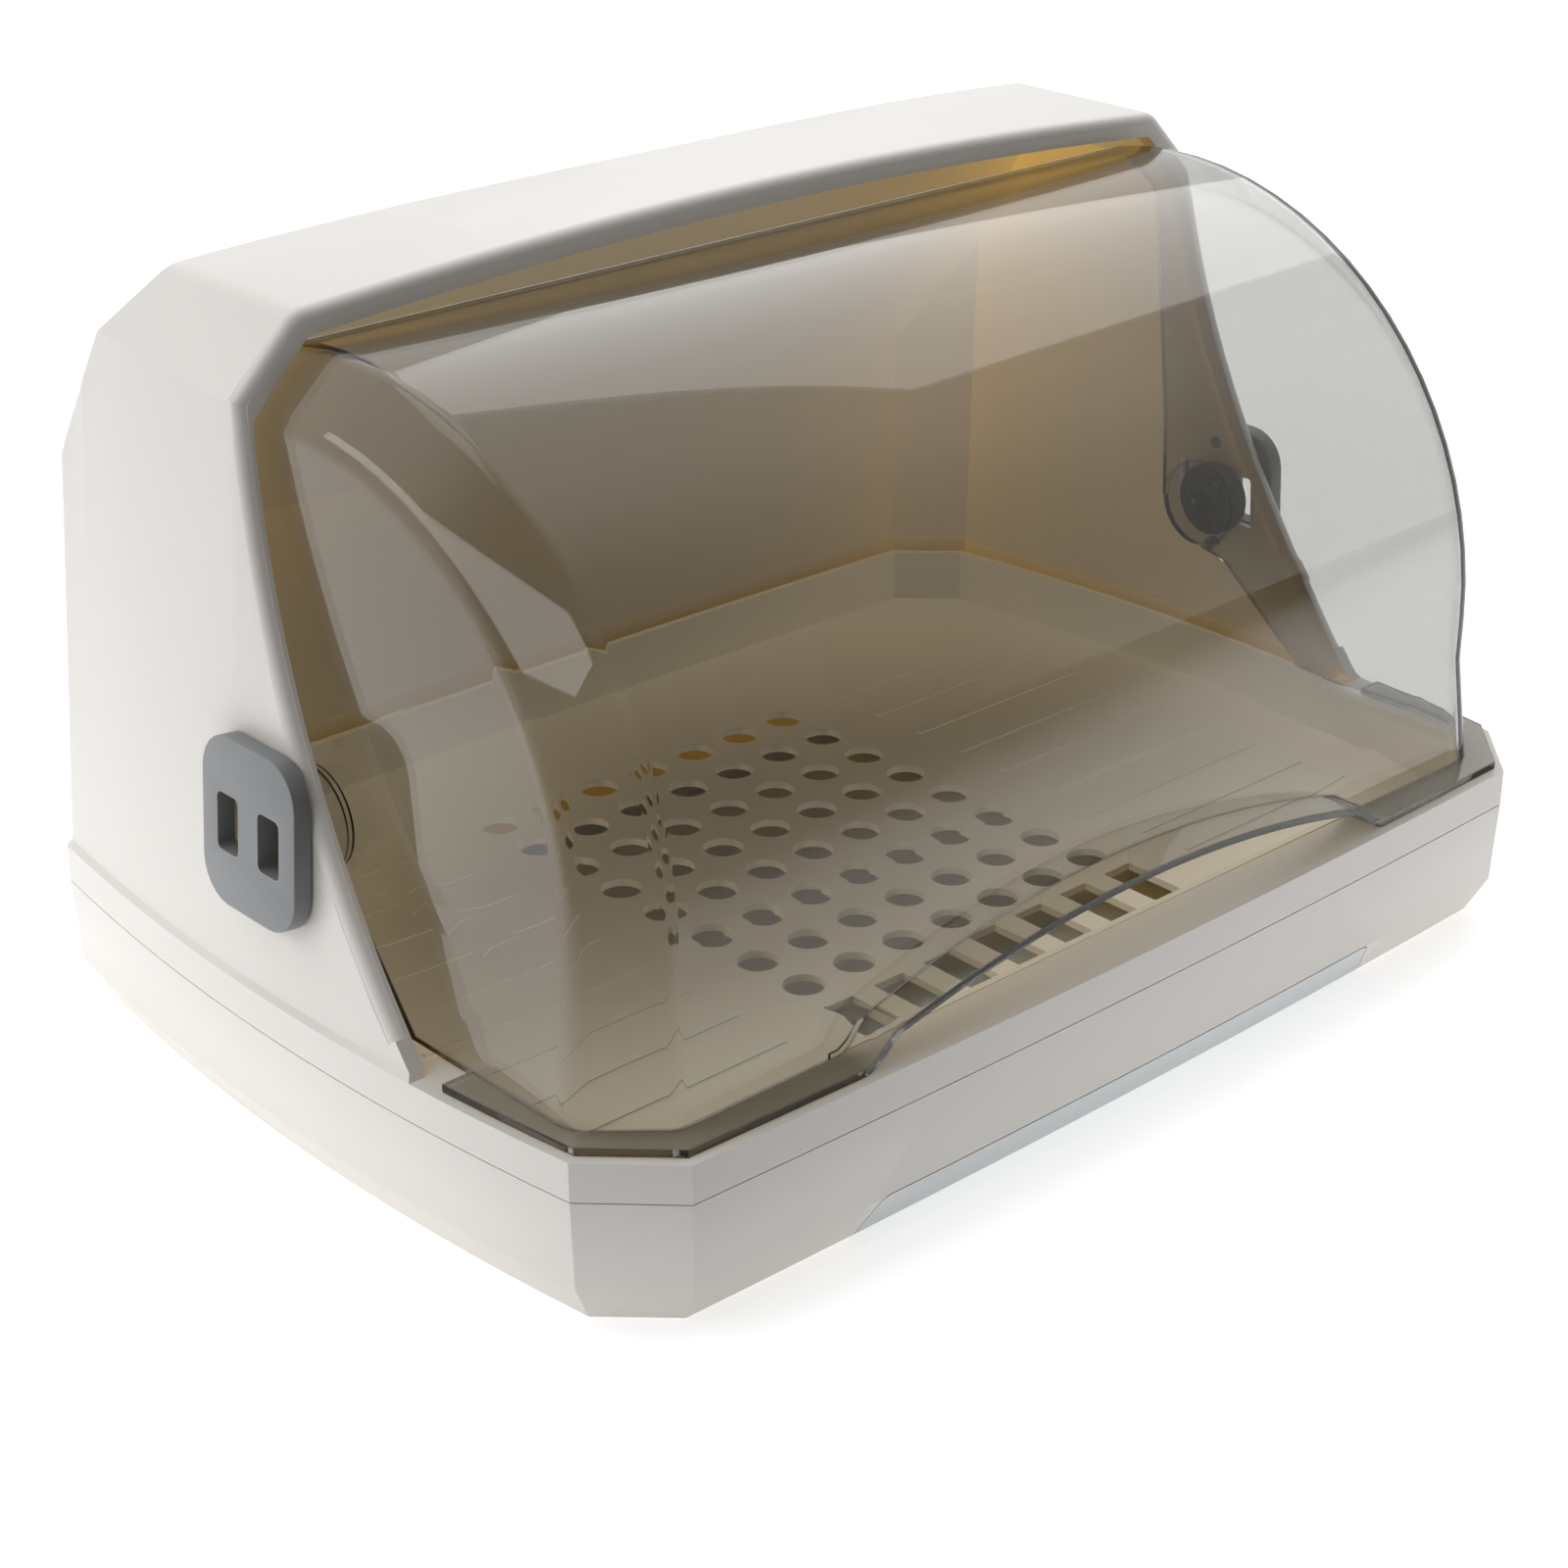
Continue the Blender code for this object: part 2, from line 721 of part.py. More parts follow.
tongue_lean = base_band_inset * tongue_height / (seam_height - band_height)
tongue_inset = base_wall + gap + tongue_lean
tongue_root = seam_z + gap / 2.0
tongue = loft("seam tongue", [plan_ring(tongue_low_z, tongue_inset), plan_ring(tongue_root, tongue_inset),
                              plan_ring(tongue_root + gap, hood_wall - gap),
                              plan_ring(tongue_root + tongue_root_rise, hood_wall - gap)], cutters)
tongue_bore = loft("seam tongue bore", [plan_ring(tongue_low_z - overrun, tongue_inset + tongue_wall),
                                        plan_ring(tongue_root + overrun, tongue_inset + tongue_wall)],
                   cutters)
cut(tongue, tongue_bore)
join(hood, tongue)
hub_hole = cylinder("hub hole", "X", (pivot_y, pivot_z), hub_radius + gap, -far_x, far_x, cutters)
cut(hood, hub_hole)
window = block("vent window", (-far_x, plate_y - window_width / 2.0, pivot_z - window_height / 2.0),
               (far_x, plate_y + window_width / 2.0, pivot_z + window_height / 2.0), cutters)
cut(hood, window)
for index, level in enumerate((-1, 1)):
    peg_hole = cylinder("peg hole %d" % index, "X", (plate_y, pivot_z + level * peg_offset),
                        peg_radius + gap, -far_x, far_x, cutters, sides=12)
    cut(hood, peg_hole)

# Drain floor
upstand_inset = tongue_inset + tongue_wall + gap
upstand_z = base_z + upstand_height
floor = loft("drain_floor", [plan_ring(floor_under_z, upstand_inset, front=floor_front_y),
                             plan_ring(upstand_z, upstand_inset, front=floor_front_y)],
             parts, floor_plastic)
basin_inset = upstand_inset + upstand_wall
basin = loft("floor basin", [plan_ring(floor_z, basin_inset, front=floor_front_y - upstand_wall),
                             plan_ring(upstand_z + overrun, basin_inset,
                                       front=floor_front_y - upstand_wall)], cutters)
cut(floor, basin)
front_lip = block("front lip", (-front_lip_half_width, -floor_front_y + gap / 3.0, upstand_z - upstand_wall),
                  (front_lip_half_width, -floor_front_y + upstand_wall - gap / 3.0,
                   base_z + front_lip_height), cutters)
join(floor, front_lip)
for row in range(rib_rows):
    y = hole_last_y - rib_pitch * row
    for side, word in ((-1, "left"), (1, "right")):
        near = side * rib_inner_x
        far = side * rib_outer_x
        rib = block("floor rib %s %d" % (word, row),
                    (min(near, far), y - rib_width / 2.0, floor_z - rib_rise),
                    (max(near, far), y + rib_width / 2.0, floor_z + rib_rise), cutters)
        join(floor, rib)
for index, place in enumerate(screw_places):
    boss = cylinder("floor boss %d" % index, "Z", place, boss_wall_radius,
                    floor_under_z - boss_height, floor_z - gap, cutters, sides=16)
    join(floor, boss)
    boss_hole = cylinder("boss hole %d" % index, "Z", place, screw_shank_radius + gap,
                         floor_under_z - boss_height - overrun,
                         head_top_z + screw_length + 2.0 * gap, cutters, sides=16)
    cut(floor, boss_hole)
first_column = -(hole_columns - 1) / 2.0


def drain_cutters():
    # One cutter for the whole field: round holes with a row of slots in front of them
    def build(shape):
        for column in range(hole_columns):
            x = (first_column + column) * hole_pitch_x
            for row in range(hole_rows):
                y = hole_last_y - row * hole_pitch_y
                place = Matrix.Translation((x, y, floor_z - floor_plate / 2.0))
                bmesh.ops.create_cone(shape, cap_ends=True, segments=hole_sides, radius1=hole_radius,
                                      radius2=hole_radius, depth=3.0 * floor_plate, matrix=place)
            slot_y = drain_slot_back_y - drain_slot_length / 2.0
            place = Matrix.Translation((x, slot_y, floor_z - floor_plate / 2.0))
            size = Matrix.Diagonal((drain_slot_width, drain_slot_length, 3.0 * floor_plate, 1.0))
            bmesh.ops.create_cube(shape, size=1.0, matrix=place @ size)

    return add_object("drain holes", mesh_from("drain holes", build), cutters)


cut(floor, drain_cutters())

# Screws
for place in screw_places:
    name = "screw_%s_%s" % ("front" if place[1] < 0 else "back", "left" if place[0] < 0 else "right")
    head_low_z = base_z + screw_recess
    screw = cylinder(name, "Z", place, screw_head_radius, head_low_z, head_top_z, parts, screw_steel, 24)
    shank = cylinder(name + " shank", "Z", place, screw_shank_radius, head_top_z - gap,
                     head_top_z + screw_length, cutters, sides=16)
    join(screw, shank)
    arm = screw_head_radius * cross_share
    half_arm = screw_cross_width / 2.0
    for bar, (reach_x, reach_y) in enumerate(((arm, half_arm), (half_arm, arm))):
        cross = block("%s cross %d" % (name, bar),
                      (place[0] - reach_x, place[1] - reach_y, head_low_z - overrun),
                      (place[0] + reach_x, place[1] + reach_y, head_low_z + screw_cross_depth), cutters)
        cut(screw, cross)
    smooth(screw)

# Drip tray
tray = loft("drip_tray", [plan_ring(base_z, base_foot_inset), plan_ring(band_z, base_band_inset),
                          plan_ring(seam_z)], parts, tray_plastic)
tray_front = prism("tray front", notch_outline(gap), "XZ", -far_y, -tray_front_back_y, cutters)
keep(tray, tray_front)
pan_low = plate_top_z + gap
pan_high = pan_low + tray_height
pan_front_y = -tray_front_back_y - tray_wall
pan_centre_y = (tray_back_y + pan_front_y) / 2.0
pan_length = tray_back_y - pan_front_y
pan = prism("tray pan", rounded_box((0.0, pan_centre_y), 2.0 * tray_half_width, pan_length, tray_corner),
            "XY", pan_low, pan_high, cutters)
join(tray, pan)
pan_hollow = prism("tray hollow", rounded_box((0.0, pan_centre_y + tray_wall / 2.0),
                                              2.0 * (tray_half_width - tray_wall),
                                              pan_length - 3.0 * tray_wall, tray_corner - tray_wall),
                   "XY", pan_low + tray_wall, pan_high + overrun, cutters)
cut(tray, pan_hollow)

# Flip lid
foot_z = bar_z + gap + flange_thickness / 2.0


def lid_section(inset, flare, core, rise=0.0):
    # Half the lid's section, from its axis outwards, mirrored; rise is the sine of its angle
    grown = flare - inset
    low_radius = lid_radius - lid_shoulder_drop + grown * corner_share
    side = lid_side_x + grown
    low_side = side - lid_draft * low_radius * rise
    front = lid_front_x + grown * corner_share
    outer = lid_radius + grown
    corners = [((side, core), 0.0), ((low_side, low_radius), lid_side_round - inset),
               ((front, outer), lid_front_round - inset), ((0.0, outer), 0.0)]
    half = eased(corners)[:-1]
    return [(-x, out) for x, out in half] + list(reversed(half))


def lid_form(name, inset, core, low_z, last_angle, collection, material=None):
    rings = []
    for z in (low_z, foot_z, flare_z, pivot_z):
        flare = max(0.0, lid_flare * (flare_z - z) / (flare_z - foot_z))
        rings.append([Vector((x, pivot_y - out, z)) for x, out in lid_section(inset, flare, core)])
    if low_z == foot_z:
        rings.pop(0)
    for step in range(1, lid_arc_steps + 1):
        angle = math.radians(180.0 + (last_angle - 180.0) * step / lid_arc_steps)
        section = lid_section(inset, 0.0, core, max(0.0, math.sin(angle)))
        rings.append([Vector((x, pivot_y + out * math.cos(angle), pivot_z + out * math.sin(angle)))
                      for x, out in section])
    return loft(name, rings, collection, material)


def lid_side_outline():
    # The lid from the side: what stays of the side panels
    lobe = arc_points((pivot_y, pivot_z), lobe_radius, lobe_start, 0.0, lobe_steps)
    corners = [((-far_y, foot_z - overrun), 0.0), ((panel_foot_y, foot_z - overrun), 0.0),
               ((panel_foot_y, foot_z), 0.0),
               ((panel_knee_y, base_z + panel_knee_height), panel_knee_round)]
    corners.extend((point, 0.0) for point in lobe)
    corners.append(((lid_back_bend_y, base_z + lid_back_bend_height), 0.0))
    corners.append(((lid_back_top_y, base_z + lid_back_top_height), 0.0))
    corners.append(((-far_y, base_z + lid_back_top_height), 0.0))
    return eased(corners)


def arch_low(x):
    # The lower edge of the arched grip at x
    shape = base_z + arch_peak_height - x * x / (2.0 * arch_radius)
    share = min(1.0, max(0.0, (arch_half_width - abs(x)) / arch_blend))
    ease_share = share * share * (3.0 - 2.0 * share)
    return bar_z + gap + ease_share * (shape - bar_z - gap)


def arch_points(offset):
    points = []
    reach = arch_half_width + offset
    step_x = 2.0 * reach / arch_steps
    for step in range(arch_steps + 1):
        x = -reach + step_x * step
        slope = (arch_low(x + step_x / 4.0) - arch_low(x - step_x / 4.0)) * 2.0 / step_x
        points.append((x, arch_low(x) + offset * math.hypot(1.0, slope)))
    return points


lid = lid_form("flip_lid", 0.0, lid_core_radius, foot_z, lid_end_angle, parts, lid_plastic)
lid_hollow = lid_form("lid hollow", lid_wall, lid_core_radius / 2.0, foot_z - overrun,
                      2.0 * lid_end_angle, cutters)
cut(lid, lid_hollow)
lid_outline = prism("lid outline", lid_side_outline(), "YZ", -far_x, far_x, cutters)
keep(lid, lid_outline)
flange_low = bar_z + gap
flange = loft("lid flange", [plan_ring(flange_low, flange_inset),
                             plan_ring(flange_low + flange_thickness, flange_inset)], cutters)
mid_wall = lid_wall / 2.0
foot_section = [(x, pivot_y - out) for x, out in lid_section(mid_wall, lid_flare, -far_y)]
flange_bore = prism("flange bore", foot_section, "XY", flange_low - overrun,
                    flange_low + overrun, cutters)
cut(flange, flange_bore)
flange_back = block("flange back", (-far_x, flange_end_y, flange_low - overrun),
                    (far_x, far_y, flange_low + overrun), cutters)
cut(flange, flange_back)
join(lid, flange)
arch_middle = arch_points(flange_thickness / 2.0)
arch_cut = prism("arch cut", [(arch_middle[0][0], flange_low - overrun)] + arch_middle
                 + [(arch_middle[-1][0], flange_low - overrun)],
                 "XZ", -far_y, -lid_radius + overrun, cutters)
cut(lid, arch_cut)
arch_upper = arch_points(flange_thickness)
arch_lower = [(x, arch_low(x)) for x, z in reversed(arch_upper)]
arch_root_y = -pivot_y + lid_radius + gap
arch_band = prism("arch band", arch_upper + arch_lower, "XZ", -far_y, -arch_root_y, cutters)
arch_limit = loft("arch limit", [plan_ring(flange_low - overrun, flange_inset),
                                 plan_ring(pivot_z, flange_inset)], cutters)
keep(arch_band, arch_limit)
join(lid, arch_band)
boss_inner = lid_side_x - lid_wall - boss_depth
boss_outer = lid_side_x + boss_proud
for side, word in ((-1, "left"), (1, "right")):
    boss = cylinder("lid boss " + word, "X", (pivot_y, pivot_z), lobe_radius - boss_margin,
                    min(side * boss_inner, side * boss_outer), max(side * boss_inner, side * boss_outer),
                    cutters, sides=40)
    join(lid, boss)
    pin_root = lid_side_x - lid_wall / 2.0
    pin = cylinder("lid pin " + word, "X", (pivot_y, pivot_z), pin_radius,
                   min(side * pin_root, side * (boss_outer + pin_length)),
                   max(side * pin_root, side * (boss_outer + pin_length)), cutters, sides=24)
    join(lid, pin)

# Vent plates with their hubs, then the washers and the caps that the lid's pins turn in
wall_rise = pivot_z - bar_z - hood_step_rise
wall_x = half_width - hood_step_inset - hood_side_lean * wall_rise + side_sag - hood_sag_loss * wall_rise
washer_low = boss_outer + gap
washer_high = washer_low + washer_thickness
cap_face = washer_high + gap
hub_end = cap_face + cap_front + gap
lean_angle = math.atan(hood_side_lean + hood_sag_loss)
for side, word in ((-1, "left"), (1, "right")):
    outline = rounded_box((0.0, 0.0), plate_width, plate_height, plate_corner, 6)
    plate = prism("vent_plate_" + word, outline, "YZ", 0.0, plate_thickness, parts, plate_plastic)
    seat = Matrix.Translation((side * (wall_x + gap), plate_y, pivot_z))
    turn = Matrix.Rotation(-side * lean_angle, 4, "Y")
    if side < 0:
        turn = turn @ Matrix.Rotation(math.pi, 4, "Z")
    plate.data.transform(seat @ turn)
    round_edges(plate, plate_edge, 40.0, 3)
    plate_middle = wall_x + plate_thickness / 2.0
    hub = cylinder("hub " + word, "X", (pivot_y, pivot_z), hub_radius,
                   min(side * hub_end, side * plate_middle), max(side * hub_end, side * plate_middle),
                   cutters)
    join(plate, hub)
    for index, level in enumerate((-1, 1)):
        peg_end = wall_x - peg_length
        peg = cylinder("peg %s %d" % (word, index), "X", (plate_y, pivot_z + level * peg_offset),
                       peg_radius, min(side * peg_end, side * plate_middle),
                       max(side * peg_end, side * plate_middle), cutters, sides=12)
        join(plate, peg)
    bore_end = boss_outer + pin_length + gap
    bore = cylinder("hub bore " + word, "X", (pivot_y, pivot_z), pin_radius + gap,
                    min(side * (hub_end - overrun), side * bore_end),
                    max(side * (hub_end - overrun), side * bore_end), cutters, sides=24)
    cut(plate, bore)
    for index, offset in enumerate((-vent_offset, vent_offset)):
        slot = prism("vent slot %s %d" % (word, index),
                     rounded_box((plate_y + offset, pivot_z), vent_width, vent_height, vent_corner, 3),
                     "YZ", min(side * wall_x - overrun, side * wall_x), max(side * wall_x + overrun,
                                                                           side * wall_x), cutters)
        cut(plate, slot)
    smooth(plate)

    washer = turned("pivot_washer_" + word, [(washer_low, pin_radius + gap), (washer_low, washer_radius),
                                             (washer_high, washer_radius), (washer_high, pin_radius + gap)],
                    side, washer_plastic)
    smooth(washer)

    cap = cylinder("pivot_cap_" + word, "X", (pivot_y, pivot_z), cap_radius,
                   min(side * cap_face, side * (cap_face + cap_length)),
                   max(side * cap_face, side * (cap_face + cap_length)), parts, cap_plastic)
    round_edges(cap, cap_round, 40.0, 2)
    socket_start = hub_end - gap
    socket = cylinder("cap socket " + word, "X", (pivot_y, pivot_z), hub_radius + gap,
                      min(side * socket_start, side * (socket_start + overrun)),
                      max(side * socket_start, side * (socket_start + overrun)), cutters)
    cut(cap, socket)
    keyhole = block("cap slot " + word,
                    (min(side * (cap_face - overrun), side * hub_end), pivot_y - cap_slot_width / 2.0,
                     pivot_z - cap_slot_height / 2.0),
                    (max(side * (cap_face - overrun), side * hub_end), pivot_y + cap_slot_width / 2.0,
                     pivot_z + cap_slot_height / 2.0), cutters)
    cut(cap, keyhole)
    smooth(cap)

# Empties on the joints' axes carry the pieces that move
lid_axis = bpy.data.objects.new("lid axis", None)
lid_axis.location = (0.0, pivot_y, pivot_z)
parts.objects.link(lid_axis)
tray_slide = bpy.data.objects.new("tray slide", None)
tray_slide.location = (0.0, -half_depth, base_z)
parts.objects.link(tray_slide)
bpy.context.view_layer.update()
for piece, carrier in ((lid, lid_axis), (tray, tray_slide)):
    piece.parent = carrier
    piece.matrix_parent_inverse = carrier.matrix_world.inverted()
for piece, angle in ((base, wide_angle), (hood, soft_angle), (floor, wide_angle), (tray, wide_angle),
                     (lid, soft_angle)):
    smooth(piece, angle)
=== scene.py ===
import math

import bpy
from mathutils import Matrix, Vector

# baby bottle drying box: the CAD nodes are its pieces, dressed here for a studio picture

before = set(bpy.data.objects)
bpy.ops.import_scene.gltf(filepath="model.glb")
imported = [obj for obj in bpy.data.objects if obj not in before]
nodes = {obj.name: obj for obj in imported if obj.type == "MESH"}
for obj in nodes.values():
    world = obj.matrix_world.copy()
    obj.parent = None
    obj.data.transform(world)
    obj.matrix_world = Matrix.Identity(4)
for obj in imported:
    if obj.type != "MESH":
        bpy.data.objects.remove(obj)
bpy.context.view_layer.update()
print("frame loaded:", len(nodes), "nodes")


def newMaterial(name):
    material = bpy.data.materials.new(name)
    material.use_nodes = True
    tree = material.node_tree
    tree.nodes.clear()
    out = tree.nodes.new("ShaderNodeOutputMaterial")
    shader = tree.nodes.new("ShaderNodeBsdfPrincipled")
    tree.links.new(shader.outputs["BSDF"], out.inputs["Surface"])
    return material, tree, shader


def addNode(tree, kind, **settings):
    # a setting is an input socket's value where the node has one of that name, else a property
    node = tree.nodes.new(kind)
    for name, value in settings.items():
        if name in node.inputs:
            node.inputs[name].default_value = value
        else:
            setattr(node, name, value)
    return node


def feed(tree, socket, value):
    # another node's socket is linked, a plain value is set
    if isinstance(value, bpy.types.NodeSocket):
        tree.links.new(value, socket)
    else:
        socket.default_value = value


def newGroup(name, inputs, outputs):
    tree = bpy.data.node_groups.new(name, "ShaderNodeTree")
    for label, kind, start in inputs:
        socket = tree.interface.new_socket(name=label, in_out="INPUT", socket_type=kind)
        socket.default_value = start
    for label, kind in outputs:
        tree.interface.new_socket(name=label, in_out="OUTPUT", socket_type=kind)
    return tree, tree.nodes.new("NodeGroupInput"), tree.nodes.new("NodeGroupOutput")


def placeGroup(tree, group, values):
    node = tree.nodes.new("ShaderNodeGroup")
    node.node_tree = group
    for name, value in values.items():
        node.inputs[name].default_value = value
    return node


def mixColour(tree, factor, first, second):
    mix = addNode(tree, "ShaderNodeMix", data_type="RGBA")
    for place, value in ((0, factor), (6, first), (7, second)):  # its colour sockets are 6 and 7
        feed(tree, mix.inputs[place], value)
    return mix.outputs[2]


def mathNode(tree, operation, first, second, clamp=False):
    node = addNode(tree, "ShaderNodeMath", operation=operation, use_clamp=clamp)
    feed(tree, node.inputs[0], first)
    feed(tree, node.inputs[1], second)
    return node.outputs[0]


def dotNode(tree, first, second):
    node = addNode(tree, "ShaderNodeVectorMath", operation="DOT_PRODUCT")
    feed(tree, node.inputs[0], first)
    feed(tree, node.inputs[1], second)
    return node.outputs["Value"]


def fadeNode(tree, value, span, most=1.0):
    # 0 at the span's first value, and a smooth turn to most at its second
    fade = addNode(tree, "ShaderNodeMapRange", interpolation_type="SMOOTHSTEP")
    tree.links.new(value, fade.inputs["Value"])
    fade.inputs["From Min"].default_value, fade.inputs["From Max"].default_value = span
    fade.inputs["To Max"].default_value = most
    return fade.outputs["Result"]


noiseMiddle = 0.5  # a noise texture's mean value

# moulded plastic: fine spark-eroded grain, slow colour drift and faint flow marks
grainShape = {"slowScale": 9.0, "flowScale": 26.0, "flowBend": 0.6, "flowHeight": 0.35}


def buildGrainGroup(shape):
    tree, start, end = newGroup(
        "moulded grain",
        [("Colour", "NodeSocketColor", (0.8, 0.8, 0.8, 1.0)),
         ("Drift", "NodeSocketFloat", 0.04),
         ("Grain Size", "NodeSocketFloat", 900.0),
         ("Roughness", "NodeSocketFloat", 0.4),
         ("Roughness Spread", "NodeSocketFloat", 0.08)],
        [("Colour", "NodeSocketColor"),
         ("Roughness", "NodeSocketFloat"),
         ("Height", "NodeSocketFloat")])
    place = tree.nodes.new("ShaderNodeTexCoord")
    slow = addNode(tree, "ShaderNodeTexNoise", Scale=shape["slowScale"], Detail=3.0, Roughness=0.5)
    flow = addNode(tree, "ShaderNodeTexNoise", Scale=shape["flowScale"], Detail=4.0,
                   Roughness=0.55, Distortion=shape["flowBend"])
    fine = addNode(tree, "ShaderNodeTexNoise", Detail=2.0, Roughness=0.6)
    for texture in (slow, flow, fine):
        tree.links.new(place.outputs["Object"], texture.inputs["Vector"])
    tree.links.new(start.outputs["Grain Size"], fine.inputs["Scale"])
    # colour drift
    shade = mathNode(tree, "SUBTRACT", slow.outputs["Fac"], noiseMiddle)
    shade = mathNode(tree, "MULTIPLY", shade, start.outputs["Drift"])
    shade = mathNode(tree, "ADD", shade, 1.0)
    drifted = tree.nodes.new("ShaderNodeHueSaturation")
    tree.links.new(start.outputs["Colour"], drifted.inputs["Color"])
    tree.links.new(shade, drifted.inputs["Value"])
    tree.links.new(drifted.outputs["Color"], end.inputs["Colour"])
    # flow marks in the gloss
    blur = mathNode(tree, "SUBTRACT", flow.outputs["Fac"], noiseMiddle)
    blur = mathNode(tree, "MULTIPLY", blur, start.outputs["Roughness Spread"])
    blur = mathNode(tree, "ADD", blur, start.outputs["Roughness"], clamp=True)
    tree.links.new(blur, end.inputs["Roughness"])
    # relief
    ripple = mathNode(tree, "MULTIPLY", flow.outputs["Fac"], shape["flowHeight"])
    height = mathNode(tree, "ADD", ripple, fine.outputs["Fac"])
    tree.links.new(height, end.inputs["Height"])
    return tree


# handling wear: edges turn a little paler and shinier; hollows get a painted shade, darkened where
# ambient occlusion finds them closed in
wearAndShadeShape = {"edgeGain": 3.0, "bevelSamples": 3, "paintedShadeReach": 0.02, "paintedShadeSamples": 3}


def buildWearAndShadeGroup(shape):
    tree, start, end = newGroup(
        "edge wear and hollow shade",
        [("Colour", "NodeSocketColor", (0.8, 0.8, 0.8, 1.0)),
         ("Edge Lift", "NodeSocketFloat", 0.2),
         ("Edge Radius", "NodeSocketFloat", 0.001),
         ("Painted Hollow Shade", "NodeSocketColor", (0.5, 0.4, 0.3, 1.0)),
         ("Painted Hollow Shade Amount", "NodeSocketFloat", 0.3)],
        [("Colour", "NodeSocketColor"),
         ("Edge", "NodeSocketFloat"),
         ("Hollow", "NodeSocketFloat")])
    bevel = addNode(tree, "ShaderNodeBevel", samples=shape["bevelSamples"])
    tree.links.new(start.outputs["Edge Radius"], bevel.inputs["Radius"])
    surface = tree.nodes.new("ShaderNodeNewGeometry")
    even = dotNode(tree, bevel.outputs["Normal"], surface.outputs["Normal"])
    edge = mathNode(tree, "SUBTRACT", 1.0, even)
    edge = mathNode(tree, "MULTIPLY", edge, shape["edgeGain"], clamp=True)
    tree.links.new(edge, end.inputs["Edge"])
    # painted shade: where ambient occlusion finds a hollow, the colour is darkened towards the
    # hollow shade colour
    shadow = addNode(tree, "ShaderNodeAmbientOcclusion", samples=shape["paintedShadeSamples"],
                     Distance=shape["paintedShadeReach"])
    hollow = mathNode(tree, "SUBTRACT", 1.0, shadow.outputs["AO"])
    tree.links.new(hollow, end.inputs["Hollow"])
    lift = mathNode(tree, "MULTIPLY", edge, start.outputs["Edge Lift"])
    paler = mixColour(tree, lift, start.outputs["Colour"], (1.0, 1.0, 1.0, 1.0))
    amount = mathNode(tree, "MULTIPLY", hollow, start.outputs["Painted Hollow Shade Amount"])
    shaded = mixColour(tree, amount, paler, start.outputs["Painted Hollow Shade"])
    tree.links.new(shaded, end.inputs["Colour"])
    return tree


# painted light: the cream parts emit a warm glow in place of studio light through thin walls;
# strongest in a closed space, fading in the open and in holes and gaps. wide counts the piece's own
# walls, near all that stands round it
paintedGlowShape = {"wideReach": 0.34, "nearReach": 0.15, "open": (0.60, 0.25), "gap": (0.03, 0.14),
             "samples": 4}


def buildPaintedGlowGroup(shape, name, reach, ownWalls):
    tree, start, end = newGroup(
        name,
        [("Painted Glow Colour", "NodeSocketColor", (0.1, 0.08, 0.04, 1.0))],
        [("Glow", "NodeSocketColor")])
    closed = addNode(tree, "ShaderNodeAmbientOcclusion", samples=shape["samples"], Distance=reach,
                     only_local=ownWalls)
    inside, clearOfGaps = (fadeNode(tree, closed.outputs["AO"], shape[key])
                           for key in ("open", "gap"))
    amount = mathNode(tree, "MULTIPLY", inside, clearOfGaps)
    glow = mixColour(tree, amount, (0.0, 0.0, 0.0, 1.0), start.outputs["Painted Glow Colour"])
    tree.links.new(glow, end.inputs["Glow"])
    return tree


grainGroup = buildGrainGroup(grainShape)
wearAndShadeGroup = buildWearAndShadeGroup(wearAndShadeShape)
paintedGlowGroups = {"wide": buildPaintedGlowGroup(paintedGlowShape, "painted inner glow wide", paintedGlowShape["wideReach"], True),
              "near": buildPaintedGlowGroup(paintedGlowShape, "painted inner glow near", paintedGlowShape["nearReach"], False)}
print("shared effects built:", len(bpy.data.node_groups))


def plasticMaterial(look):
    material, tree, shader = newMaterial(look["name"])
    grain = placeGroup(tree, grainGroup, {
        "Colour": (*look["colour"], 1.0), "Drift": look["drift"], "Grain Size": look["grainSize"],
        "Roughness": look["roughness"], "Roughness Spread": look["roughnessSpread"]})
    # edge wear, and painted shade in hollows
    edge = placeGroup(tree, wearAndShadeGroup, {
        "Edge Lift": look["edgeLift"], "Edge Radius": look["edgeRadius"],
        "Painted Hollow Shade": (*look["paintedShadeColour"], 1.0), "Painted Hollow Shade Amount": look["paintedShadeAmount"]})
    tree.links.new(grain.outputs["Colour"], edge.inputs["Colour"])
    tree.links.new(edge.outputs["Colour"], shader.inputs["Base Color"])
    shine = mathNode(tree, "MULTIPLY", edge.outputs["Edge"], -look["edgeShine"])
    shine = mathNode(tree, "ADD", grain.outputs["Roughness"], shine, clamp=True)
    tree.links.new(shine, shader.inputs["Roughness"])
    bump = addNode(tree, "ShaderNodeBump", Strength=look["bump"], Distance=look["bumpDepth"])
    tree.links.new(grain.outputs["Height"], bump.inputs["Height"])
    tree.links.new(bump.outputs["Normal"], shader.inputs["Normal"])
    shader.inputs["IOR"].default_value = look["ior"]
    # painted light: emission makes the piece glow from within, though it is no lamp
    if "glow" in look:
        glow = placeGroup(tree, paintedGlowGroups[look["glowKind"]], {"Painted Glow Colour": (*look["glow"], 1.0)})
        tree.links.new(glow.outputs["Glow"], shader.inputs["Emission Color"])
        shader.inputs["Emission Strength"].default_value = 1.0
    return material


